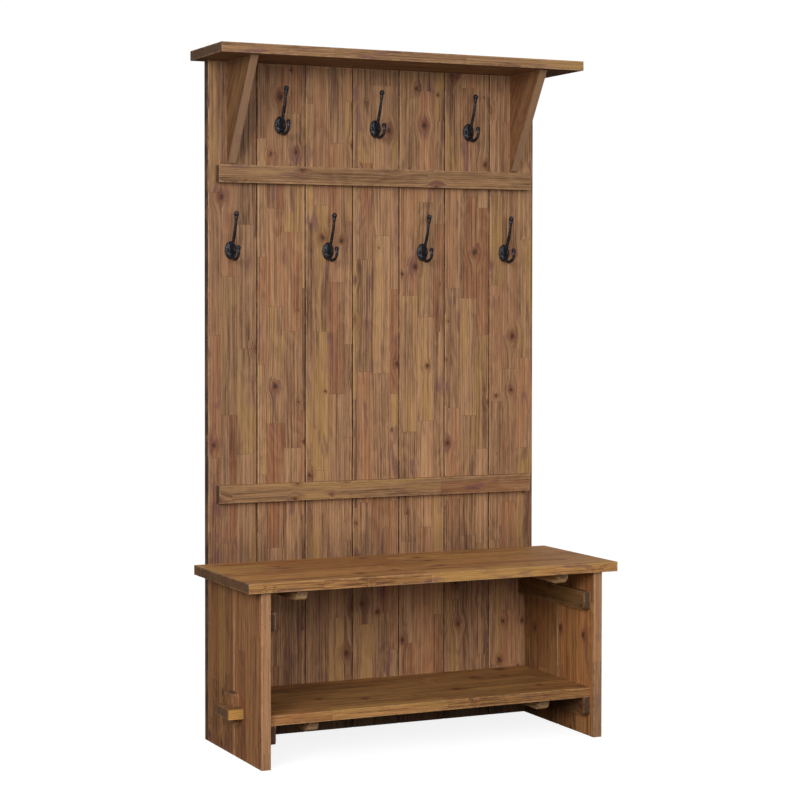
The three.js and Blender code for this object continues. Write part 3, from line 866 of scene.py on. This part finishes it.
def cast_hook_mesh():
    """Plate, long arm and short curl, cast in one piece: the joints are filleted by remeshing."""
    mesh = bmesh.new()
    add_plate(mesh)
    for path, girth, rings, ball in ((ARM_PATH, ARM_GIRTH, ARM_RINGS, BALL),
                                     (CURL_PATH, CURL_GIRTH, CURL_RINGS, CURL_BALL)):
        curve = smooth_path(path, PATH_STEPS)
        sweep(mesh, curve, girth)
        last = len(curve) - 1
        for t, radius in rings:
            at = t * last
            index = min(int(at), last - 1)
            ahead = (curve[index + 1] - curve[index]).normalized()
            centre = curve[index].lerp(curve[index + 1], at - index)
            add_bead(mesh, centre, ahead, radius * MM, RING_SQUASH)
        add_bead(mesh, curve[-1], (curve[-1] - curve[-2]).normalized(), *ball)
    bmesh.ops.recalc_face_normals(mesh, faces=mesh.faces)
    data = bpy.data.meshes.new("cast_hook")
    mesh.to_mesh(data)
    mesh.free()
    return fused(data)


def fused(data):
    """The mesh made into one closed skin by voxels, and smoothed a little."""
    model = bpy.data.objects.new("pattern", data)
    bpy.context.scene.collection.objects.link(model)
    remesh = model.modifiers.new("cast", "REMESH")
    remesh.mode = "VOXEL"
    remesh.voxel_size = CAST_VOXEL
    smooth = model.modifiers.new("fettle", "SMOOTH")
    smooth.factor = 0.5
    smooth.iterations = 3
    bpy.context.view_layer.update()
    skin = bpy.data.meshes.new_from_object(model.evaluated_get(bpy.context.evaluated_depsgraph_get()))
    bpy.data.objects.remove(model)
    skin.shade_smooth()
    return skin


def make_hooks(iron):
    """One casting copied to every hook, with its dimples on that hook's two screws."""
    pattern = cast_hook_mesh()
    for name in sorted(NODES):
        if "hook" not in name or name.endswith("screw"):
            continue
        data = pattern.copy()
        data.materials.clear()
        data.materials.append(iron)
        hook = bpy.data.objects.new("cast_" + name, data)
        bpy.context.scene.collection.objects.link(hook)
        screws = [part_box(f"{name}_{side}_screw") for side in ("left", "right")]
        corners = [Vector(corner) for screw in screws for corner in screw]
        centre = sum(corners, Vector()) / len(corners)
        hook.location = (centre.x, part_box(name)[1][1], centre.z)
        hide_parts(name)
        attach(hook, "body")


# ------------------------------------------------------------------ screws
HEAD_RADIUS = 3.4 * MM
HEAD_HEIGHT = 2.0 * MM
SHANK_RADIUS = 2.0 * MM
RECESS_DEPTH = 1.1 * MM
RECESS_HALF_WIDTH = 0.45 * MM
RECESS_REACH = 2.0 * MM
RECESS_RUN_OUT = 2.2 * RECESS_REACH
HEAD_EDGE = 0.45
SHANK_SHARE = 0.8
POINT_SHARE = 0.3
HEAD_RINGS = 14
SCREW_SIDES = 48


def head_height(x, y):
    """A pan head with a cross recess, above the head's underside."""
    radius = math.hypot(x, y)
    crown = math.sqrt(max(0.0, 1 - (radius / HEAD_RADIUS) ** 2))
    height = HEAD_HEIGHT * (HEAD_EDGE + (1 - HEAD_EDGE) * crown)
    across = min(abs(x), abs(y))
    reach = max(abs(x), abs(y))
    if across < RECESS_HALF_WIDTH and reach < RECESS_REACH:
        height -= RECESS_DEPTH * (1 - reach / RECESS_RUN_OUT)
    return height


def screw_mesh(length, plating):
    """Head up along +Z, shank down along -Z, the head's underside at the origin."""
    mesh = bmesh.new()
    spokes = [2 * math.pi * k / SCREW_SIDES for k in range(SCREW_SIDES)]
    rows = []
    for ring in range(1, HEAD_RINGS + 1):
        radius = HEAD_RADIUS * ring / HEAD_RINGS
        places = [(radius * math.cos(a), radius * math.sin(a)) for a in spokes]
        rows.append([mesh.verts.new((x, y, head_height(x, y))) for x, y in places])
    for radius, z in ((HEAD_RADIUS, 0.0), (SHANK_RADIUS, 0.0), (SHANK_RADIUS, -SHANK_SHARE * length),
                      (POINT_SHARE * SHANK_RADIUS, -length)):
        rows.append([mesh.verts.new((radius * math.cos(a), radius * math.sin(a), z)) for a in spokes])
    top = mesh.verts.new((0, 0, head_height(0, 0)))
    for k in range(SCREW_SIDES):
        following = (k + 1) % SCREW_SIDES
        mesh.faces.new((top, rows[0][k], rows[0][following]))
        for near, far in zip(rows, rows[1:]):
            mesh.faces.new((near[k], far[k], far[following], near[following]))
    mesh.faces.new(list(reversed(rows[-1])))
    bmesh.ops.recalc_face_normals(mesh, faces=mesh.faces)
    data = bpy.data.meshes.new("screw")
    mesh.to_mesh(data)
    mesh.free()
    data.materials.append(plating)
    return data


def make_screws(plating):
    """A detailed screw on every modelled one, each turned its own way."""
    turns = random.Random(7)
    for name in sorted(NODES):
        if not name.endswith("screw"):
            continue
        low, high = (Vector(corner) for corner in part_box(name))
        middle = (low + high) / 2
        size = high - low
        if "hook" in name:
            out = Vector((0, -1, 0))
            seat = Vector((middle.x, low.y + HEAD_HEIGHT, middle.z))
            length = size.y - HEAD_HEIGHT
        else:
            side = -1 if "left" in name else 1
            out = Vector((-side, 0, 0))
            inner = low.x if side > 0 else high.x
            seat = Vector((inner + side * HEAD_HEIGHT, middle.y, middle.z))
            length = size.x - HEAD_HEIGHT
        screw = bpy.data.objects.new("pan_" + name, screw_mesh(length, plating))
        bpy.context.scene.collection.objects.link(screw)
        spin = Matrix.Rotation(turns.uniform(0, math.pi / 2), 4, "Z")
        face = Vector((0, 0, 1)).rotation_difference(out).to_matrix().to_4x4()
        screw.matrix_world = Matrix.Translation(seat) @ face @ spin
        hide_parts(name)
        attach(screw, "body")


# ------------------------------------------------------------------ studio
SKY_TOP = 0.66
SKY_BOTTOM = 0.14
SKY_RISE = (-0.3, 0.9)
BACKDROP = 1.02
LEFT_PLACE = (-4.1, -3.6, 2.3)
LEFT_SIZE = 2.5
LEFT_POWER = 165.0
FRONT_PLACE = (-0.3, -6.0, 2.1)
FRONT_SIZE = 2.9
FRONT_POWER = 138.0
AIM = (0.0, 0.0, 0.9)
FLOOR_RADIUS = 30.0
FLOOR_DROP = 0.5 * MM
FLOOR_PAINT = (0.28, 0.28, 0.28, 1.0)
FLOOR_GLOW = 0.86
FLOOR_FADE = (0.6, 2.6)
FLOOR_BOUNCE = (0.10, 0.095, 0.09, 1.0)
WHITE = (1.0, 1.0, 1.0, 1.0)


def make_world():
    """White to look at, and a soft sky that is brighter above than below to be lit by."""
    world = bpy.data.worlds.new("studio")
    bpy.context.scene.world = world
    world.use_nodes = True
    graph = Graph(world.node_tree)
    _, _, up = graph.split(graph.add("ShaderNodeTexCoord").outputs["Generated"])
    sky = graph.sum(SKY_BOTTOM, graph.times(graph.ramp(up, *SKY_RISE), SKY_TOP - SKY_BOTTOM))
    seen = graph.add("ShaderNodeLightPath").outputs["Is Camera Ray"]
    strength = graph.sum(sky, graph.times(seen, graph.minus(BACKDROP, sky)))
    graph.feed(world.node_tree.nodes["Background"].inputs["Strength"], strength)
    world.node_tree.nodes["Background"].inputs["Color"].default_value = WHITE


def make_light(name, place, target, size, power):
    """A round softbox at a place, turned to its target."""
    data = bpy.data.lights.new(name, "AREA")
    data.shape = "DISK"
    data.size = size
    data.energy = power
    light = bpy.data.objects.new(name, data)
    bpy.context.scene.collection.objects.link(light)
    light.location = place
    light.rotation_euler = (Vector(target) - Vector(place)).to_track_quat("-Z", "Y").to_euler()


def make_floor():
    """A pale floor that fades into the backdrop. It throws little light back up."""
    bpy.ops.mesh.primitive_circle_add(vertices=96, radius=FLOOR_RADIUS, fill_type="NGON",
                                      location=(0, 0, -FLOOR_DROP))
    floor = bpy.context.object
    floor.name = "studio_floor"
    material = bpy.data.materials.new("studio_floor")
    material.use_nodes = True
    graph = Graph(material.node_tree)
    material.node_tree.nodes.clear()
    place = graph.add("ShaderNodeTexCoord").outputs["Object"]
    far = graph.ramp(graph.vector("LENGTH", place), *FLOOR_FADE)
    paint = graph.add("ShaderNodeBsdfDiffuse")
    paint.inputs["Color"].default_value = FLOOR_PAINT
    glow = graph.add("ShaderNodeEmission")
    glow.inputs["Strength"].default_value = FLOOR_GLOW
    lit = graph.add("ShaderNodeAddShader")
    graph.feed(lit.inputs[0], paint.outputs[0])
    graph.feed(lit.inputs[1], glow.outputs[0])
    white = graph.add("ShaderNodeEmission")
    white.inputs["Strength"].default_value = BACKDROP
    shown = graph.add("ShaderNodeMixShader")
    graph.feed(shown.inputs[0], far)
    graph.feed(shown.inputs[1], lit.outputs[0])
    graph.feed(shown.inputs[2], white.outputs[0])
    bounce = graph.add("ShaderNodeBsdfDiffuse")
    bounce.inputs["Color"].default_value = FLOOR_BOUNCE
    seen = graph.add("ShaderNodeLightPath").outputs["Is Camera Ray"]
    blend = graph.add("ShaderNodeMixShader")
    graph.feed(blend.inputs[0], seen)
    graph.feed(blend.inputs[1], bounce.outputs[0])
    graph.feed(blend.inputs[2], shown.outputs[0])
    output = graph.add("ShaderNodeOutputMaterial")
    graph.feed(output.inputs["Surface"], blend.outputs[0])
    floor.data.materials.append(material)


make_camera()
make_world()
make_floor()
make_light("left", LEFT_PLACE, AIM, LEFT_SIZE, LEFT_POWER)
make_light("front", FRONT_PLACE, AIM, FRONT_SIZE, FRONT_POWER)
bpy.context.scene.view_settings.view_transform = "Standard"
finish_boards()
make_hooks(iron_material())
make_screws(screw_material())
